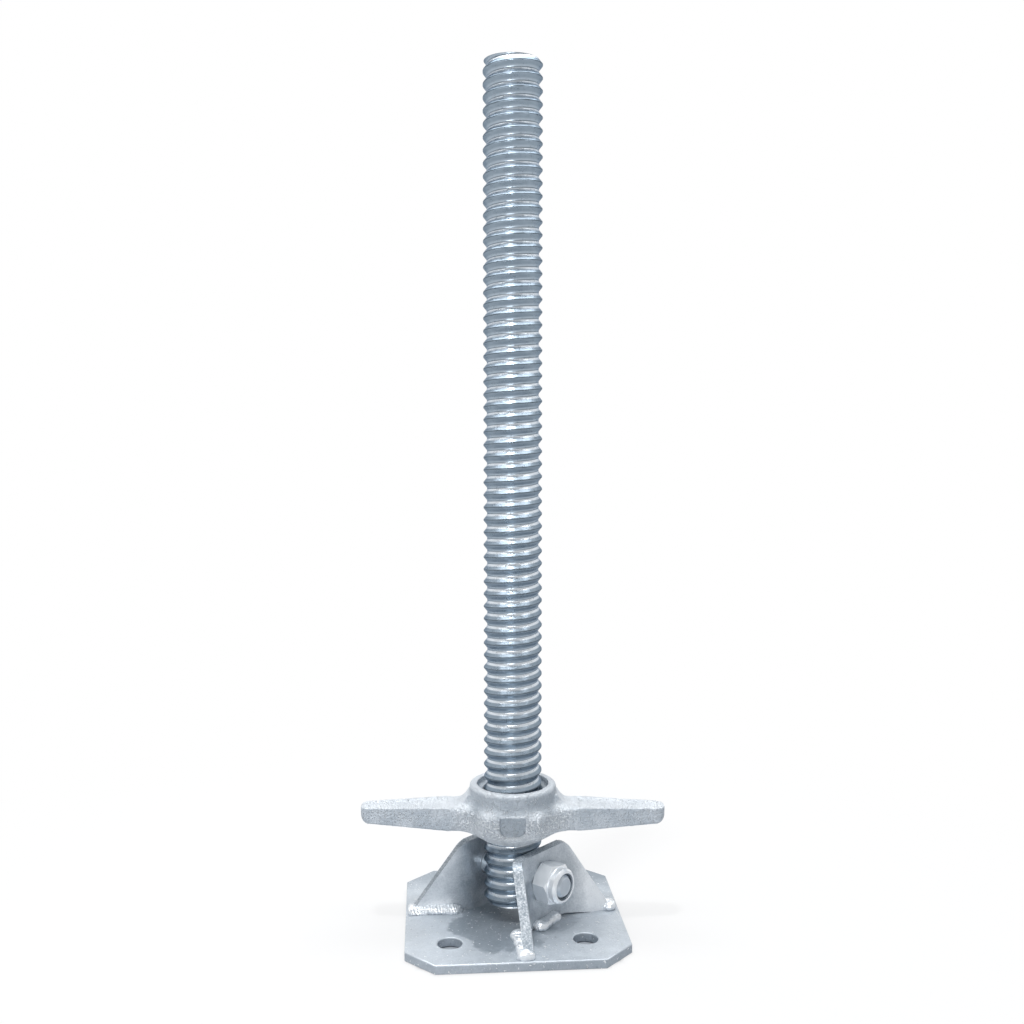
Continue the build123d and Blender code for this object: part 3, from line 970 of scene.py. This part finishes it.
def held_in(place):
    """A coordinate kept on the plate, squashed more the nearer it comes to the edge."""
    free = plate_high.x - EDGE_MARGIN - EDGE_SQUASH
    beyond = abs(place) - free
    if beyond <= 0:
        return place
    return math.copysign(free + EDGE_SQUASH * (1 - math.exp(-beyond / EDGE_SQUASH)), place)


def rippled_bead(mesh, seed):
    """One bead with its pools melted in and its ripples raised."""
    start, end = long_axis(mesh)
    along = (end - start).normalized()
    start, end = start + along * POOL_INSET, end - along * POOL_INSET
    pools = max(2, round((end - start).length / POOL_SPACING) + 1)
    bead = put_in_scene(mesh.name, mesh)
    grown(bead, weld_pools, material=weld_zinc, start=tuple(start), end=tuple(end), pools=pools,
          radius=POOL_RADIUS, seed=seed, end_size=1.2)
    soften(bead, square=0.35 * MM, rounds=5)
    return grown(bead, weld_ripples, material=weld_zinc, start=tuple(start), along=tuple(along))


def rippled_welds(node, name):
    copy = merged_copy(node, name + "_copy")
    beads = [rippled_bead(mesh, seed=i + len(name)) for i, mesh in enumerate(loose_parts(copy))]
    bpy.data.objects.remove(copy)
    welds = joined(name, beads, weld_zinc)
    for vertex in welds.data.vertices:
        vertex.co.x, vertex.co.y = held_in(vertex.co.x), held_in(vertex.co.y)
        vertex.co.z = max(vertex.co.z, plate_high.z - WELD_DEPTH)
    welds.data.shade_smooth()
    return report(welds)


for node, name in (("front_ear_welds", "rippled_front_welds"), ("rear_ear_welds", "rippled_rear_welds")):
    welds = rippled_welds(node, name)
    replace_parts(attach(welds, "base"), node)

# %% [markdown]
# ## The threaded tube
# Rolling leaves rounded crests with a fine seam, and rounded roots, where the CAD model has a
# sharp V. One flat grid makes the whole thread: its long side is wound round the tube, its short
# side crosses one pitch, and the radius follows the profile. Its rows lie closer near the crest,
# where the seam is, and the seam's depth varies along its run. The rows that meet are merged.

# %% Tree for the thread
SEAM_VARIES = (0.3, 1.5)


def thread_profile(graph, take, from_crest, wander):
    """The thread's radius: a flank with both its ends rounded, and a seam along the crest."""
    foot = 1 - take["root_share"]
    slope = (foot - from_crest) / (foot - take["crest_share"])
    rise = graph.maths("SMOOTH_MIN", slope, 1.0, take["rounding"])
    rise = graph.maths("SMOOTH_MAX", rise, 0.0, take["rounding"])
    seam = (1 - graph.ramp(from_crest, 0.0, take["seam_share"])) * take["seam_depth"]
    depth = take["crest_radius"] - take["root_radius"]
    least, most = SEAM_VARIES
    return take["root_radius"] + depth * rise - seam * (least + (most - least) * wander)


def thread_tree():
    graph, take = open_tree(
        "thread", pitch=8 * MM, turns=69.0, root_radius=16.5 * MM, crest_radius=19 * MM,
        start_height=0.0, crest_share=0.05, root_share=0.17, rounding=0.2, seam_share=0.08,
        seam_depth=0.3 * MM, crowding=0.4, steps_around=46, steps_across=24, merge=0.01 * MM)
    grid = graph.field("GeometryNodeMeshGrid", sockets={
        "Size X": 1.0,
        "Size Y": 2.0,
        "Vertices X": take["turns"] * take["steps_around"] + 1,
        "Vertices Y": take["steps_across"] + 1,
    })
    along, side, _ = graph.split(graph.field("GeometryNodeInputPosition"))
    turn = (along + 0.5) * take["turns"]
    crowded = side * abs(side) ** take["crowding"]
    lane = crowded * 0.5 + 0.5
    wander = graph.field("ShaderNodeTexNoise", {"noise_dimensions": "1D"}, {"W": turn * 3.0, "Detail": 3.0})
    radius = thread_profile(graph, take, abs(crowded), wander)
    angle = turn * (2 * math.pi)
    spot = graph.field("ShaderNodeCombineXYZ", sockets={
        0: radius * graph.maths("COSINE", angle),
        1: radius * graph.maths("SINE", angle),
        2: take["start_height"] + take["pitch"] * (turn + lane),
    })
    flat = kept_on_points(graph, grid, "lane", lane)
    wound = graph.field("GeometryNodeSetPosition", sockets={"Geometry": flat, "Position": spot})
    met = graph.field("GeometryNodeMergeByDistance", sockets={"Geometry": wound, "Distance": take["merge"]})
    return close_tree(graph, met, take["material"])


thread_group = thread_tree()
print("thread tree has", len(thread_group.nodes), "nodes")

# %% [markdown]
# The photograph shows at which heights the crests pass the tube's right side. The grown thread
# starts from one of those crests, a whole number of pitches down, below the tube's lower end. Its
# outer radius comes from the CAD tube's own box.

# %% Grow the thread
TUBE_PITCH = 8.0 * MM
THREAD_DEPTH = 2.5 * MM
CREST_HEIGHT_AT_RIGHT = 6.28 * MM
SPARE_TURNS = 3
tube_low, tube_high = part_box("threaded_tube")
crest_radius = (tube_high.x - tube_low.x) / 2
turns = math.ceil((tube_high.z - tube_low.z) / TUBE_PITCH) + SPARE_TURNS
first_turn = math.floor((tube_low.z - CREST_HEIGHT_AT_RIGHT) / TUBE_PITCH) - 1
tube = grown(
    put_in_scene("rolled_tube", bpy.data.meshes.new("rolled_tube")), thread_group,
    material=thread_zinc, pitch=TUBE_PITCH, turns=float(turns), crest_radius=crest_radius,
    root_radius=crest_radius - THREAD_DEPTH,
    start_height=CREST_HEIGHT_AT_RIGHT + TUBE_PITCH * (first_turn - 0.5))
print("grew", turns, "turns of thread")

# %% [markdown]
# ## Cut to length and bored
# The grown thread is longer than the tube and open at both ends. Two level cuts bring it to its
# length, and a plain bore and two flat rings close it. On a closed shell the normals can then be
# turned outwards.

# %% Cut and bore
TUBE_BORE_RADIUS = 12.0 * MM
LEVEL = 0.001 * MM


def cut_level(shape, height, keep_below):
    """Cut a bmesh at a height and throw away one side."""
    everything = list(shape.verts) + list(shape.edges) + list(shape.faces)
    bmesh.ops.bisect_plane(shape, geom=everything, plane_co=(0, 0, height), plane_no=(0, 0, 1),
                           clear_outer=keep_below, clear_inner=not keep_below)


def open_edges_at(shape, height):
    return [edge for edge in shape.edges
            if edge.is_boundary and all(abs(v.co.z - height) < LEVEL for v in edge.verts)]


def bore_wall(shape, radius, heights, steps=64):
    """A plain wall of quads between two heights."""
    angles = [2 * math.pi * i / steps for i in range(steps)]
    corners = [(radius * math.cos(a), radius * math.sin(a)) for a in angles]
    low, high = [[shape.verts.new((x, y, z)) for x, y in corners] for z in heights]
    for i in range(steps):
        j = (i + 1) % steps
        shape.faces.new((low[j], low[i], high[i], high[j]))


ends = (tube_low.z, tube_high.z)
with edited(tube.data) as shape:
    cut_level(shape, ends[0], keep_below=False)
    cut_level(shape, ends[1], keep_below=True)
    bore_wall(shape, TUBE_BORE_RADIUS, ends)
    for height in ends:
        bmesh.ops.triangle_fill(shape, edges=open_edges_at(shape, height), use_beauty=True)
    bmesh.ops.recalc_face_normals(shape, faces=shape.faces)
    print("open edges left:", sum(edge.is_boundary for edge in shape.edges))

# %% [markdown]
# ## Drilled for the pivot
# The bolt passes straight through the tube. The drill is a plain cylinder on the pivot's line,
# which the frame gives as the tilt joint's place and axis, and a Boolean takes it away from the
# tube. It is only a tool, so it is removed once the hole is cut.

# %% Drill for the pivot
PIVOT_HOLE_RADIUS = 8.08 * MM
DRILL_LENGTH = 60 * MM
TUBE_SHARP_ANGLE = math.radians(50)
tilt = next(joint for joint in frame["joints"] if joint["name"] == "base_tilt")
pivot_line = Vector(tilt["axis"]).normalized()
on_pivot = pivot_line.to_track_quat("Z", "Y").to_matrix().to_4x4()
on_pivot.translation = Vector(tilt["pos_m"])
drill = put_in_scene("drill", bpy.data.meshes.new("drill"))
with edited(drill.data) as shape:
    bmesh.ops.create_cone(shape, cap_ends=True, segments=48, depth=DRILL_LENGTH, matrix=on_pivot,
                          radius1=PIVOT_HOLE_RADIUS, radius2=PIVOT_HOLE_RADIUS)

cut = tube.modifiers.new("cut", "BOOLEAN")
cut.operation, cut.solver, cut.object = "DIFFERENCE", "EXACT", drill
plain(tube)
bpy.data.objects.remove(drill)
tube.data.shade_smooth()
tube.data.set_sharp_from_angle(angle=TUBE_SHARP_ANGLE)
report(tube)
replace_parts(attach(tube, "stem"), "threaded_tube")

# %% [markdown]
# ## The stage
# A white floor that keeps a soft shadow. Away from the jack it is plain white to the camera, so
# that floor and background meet without a line. Only under the plate itself does the floor stop
# glowing, so that the plate's holes look down on a shaded floor, as they do in the photograph.
# To the light that bounces off it the floor is a bluish grey, so that undersides stay dark.

# %% Floor
FLOOR_HALF = 8.0
FLOOR_DROP = 0.2 * MM
PLATE_HALF = (plate_high.x - plate_low.x) / 2
COVERED_TO = (PLATE_HALF - 18 * MM, PLATE_HALF - 4 * MM)
FAR_AWAY = (0.12, 0.5)
GLOW_NEAR_JACK = 0.7
MIRRORED_GLOW_NEAR_JACK = 0.6
BOUNCE_GREY = (0.42, 0.45, 0.49, 1)
SEEN_WHITE = (0.85, 0.85, 0.85, 1)


def white_floor():
    stuff = bpy.data.materials.new("white_floor")
    stuff.use_nodes = True
    graph = Graph(stuff.node_tree)
    graph.tree.nodes.remove(graph.tree.nodes["Principled BSDF"])
    place = graph.field("ShaderNodeTexCoord", output="Object")
    x, y, _ = graph.split(place)
    uncovered = graph.ramp(abs(x).at_least(abs(y)), *COVERED_TO)
    far = graph.ramp(graph.vector("LENGTH", place, (0, 0, 0), output="Value"), *FAR_AWAY)
    path = graph.node("ShaderNodeLightPath")
    camera_ray, mirror_ray = [
        Field(graph, path.outputs[name]) for name in ("Is Camera Ray", "Is Glossy Ray")]
    color = graph.blend(camera_ray * uncovered, BOUNCE_GREY, SEEN_WHITE)
    paint = graph.field("ShaderNodeBsdfDiffuse", sockets={"Color": color})
    glow = graph.field("ShaderNodeEmission", sockets={"Color": (1, 1, 1, 1), "Strength": 1.0})
    seen = GLOW_NEAR_JACK + (1 - GLOW_NEAR_JACK) * far
    mirrored = MIRRORED_GLOW_NEAR_JACK + (1 - MIRRORED_GLOW_NEAR_JACK) * far
    share = (camera_ray * seen + mirror_ray * mirrored) * uncovered
    mixed = graph.field("ShaderNodeMixShader", sockets={0: share, 1: paint, 2: glow})
    graph.feed(graph.tree.nodes["Material Output"].inputs["Surface"], mixed)
    return stuff


corner_signs = ((-1, -1), (1, -1), (1, 1), (-1, 1))
floor_mesh = bpy.data.meshes.new("floor")
floor_corners = [(x * FLOOR_HALF, y * FLOOR_HALF, -FLOOR_DROP) for x, y in corner_signs]
floor_mesh.from_pydata(floor_corners, [], [(0, 1, 2, 3)])
floor = put_in_scene("floor", floor_mesh)
floor.data.materials.append(white_floor())
print("floor is", 2 * FLOOR_HALF, "m wide")

# %% [markdown]
# ## The room
# Metal shows what is around it. The camera sees a white room, and reflections see it too, only
# greyer on the camera's own side, which gives each thread a light and a dark side. The room
# itself gives little light, tinted blue, so that the lamps' shadows stay in pockets and threads.

# %% World
AMBIENT = 0.15
DARK_SIDE = 0.6
DARK_TO_LIGHT = (-0.05, 0.8)
UP_COUNTS = 0.6
ROOM_WHITE = (1, 1, 1, 1)
SHADE_TINT = (0.85, 0.96, 1.1, 1)
world = bpy.data.worlds.new("studio")
world.use_nodes = True
bpy.context.scene.world = world
sky = Graph(world.node_tree)
path = sky.node("ShaderNodeLightPath")
camera_ray, mirror_ray, through_ray = [
    Field(sky, path.outputs[name]) for name in ("Is Camera Ray", "Is Glossy Ray", "Is Transmission Ray")]
_, away, up = sky.split(sky.field("ShaderNodeTexCoord", output="Generated"))
room = DARK_SIDE + (1 - DARK_SIDE) * sky.ramp(away + up * UP_COUNTS, *DARK_TO_LIGHT)
strength = AMBIENT + (camera_ray + through_ray) * (1 - AMBIENT) + mirror_ray * (room - AMBIENT)
seen = sky.maths("MINIMUM", camera_ray + through_ray + mirror_ray, 1.0)
backdrop = sky.tree.nodes["Background"]
sky.feed(backdrop.inputs["Strength"], strength)
sky.feed(backdrop.inputs["Color"], sky.blend(seen, SHADE_TINT, ROOM_WHITE))
print("room lit at", AMBIENT)

# %% [markdown]
# ## The light
# Upward faces are the brightest in the photograph and shadows fall nearly straight down, so most
# of the light comes from one wide panel overhead, which each crest of the thread mirrors as a
# soft highlight. A small softbox, high in front and to the left, gives the shadows their
# direction. A panel low in front lights upright faces and the underside of the hub.

# %% Lamps
def panel(name, place, aim, size, watts):
    data = bpy.data.lights.new(name, "AREA")
    data.shape, data.size, data.size_y, data.energy = "RECTANGLE", size[0], size[1], watts
    lamp = put_in_scene(name, data)
    lamp.location = place
    lamp.rotation_euler = (Vector(aim) - Vector(place)).to_track_quat("-Z", "Y").to_euler()


panel("key_softbox", place=(-0.27, -0.38, 1.9), aim=(0, 0, 0.1), size=(0.12, 0.12), watts=8)
panel("wide_overhead", place=(0.0, 0.3, 2.1), aim=(0.0, 0.3, 0.0), size=(2.8, 1.8), watts=52)
panel("front_panel", place=(-0.35, -1.3, 0.2), aim=(0, 0, 0.08), size=(0.6, 0.6), watts=7)
print("lamps give", sum(lamp.energy for lamp in bpy.data.lights), "W")

# %% [markdown]
# ## The view
# The view transform stays plain, so that a colour renders as it is written. The dressed jack
# must fill the same space as the CAD model.


bpy.context.scene.view_settings.view_transform = "Standard"
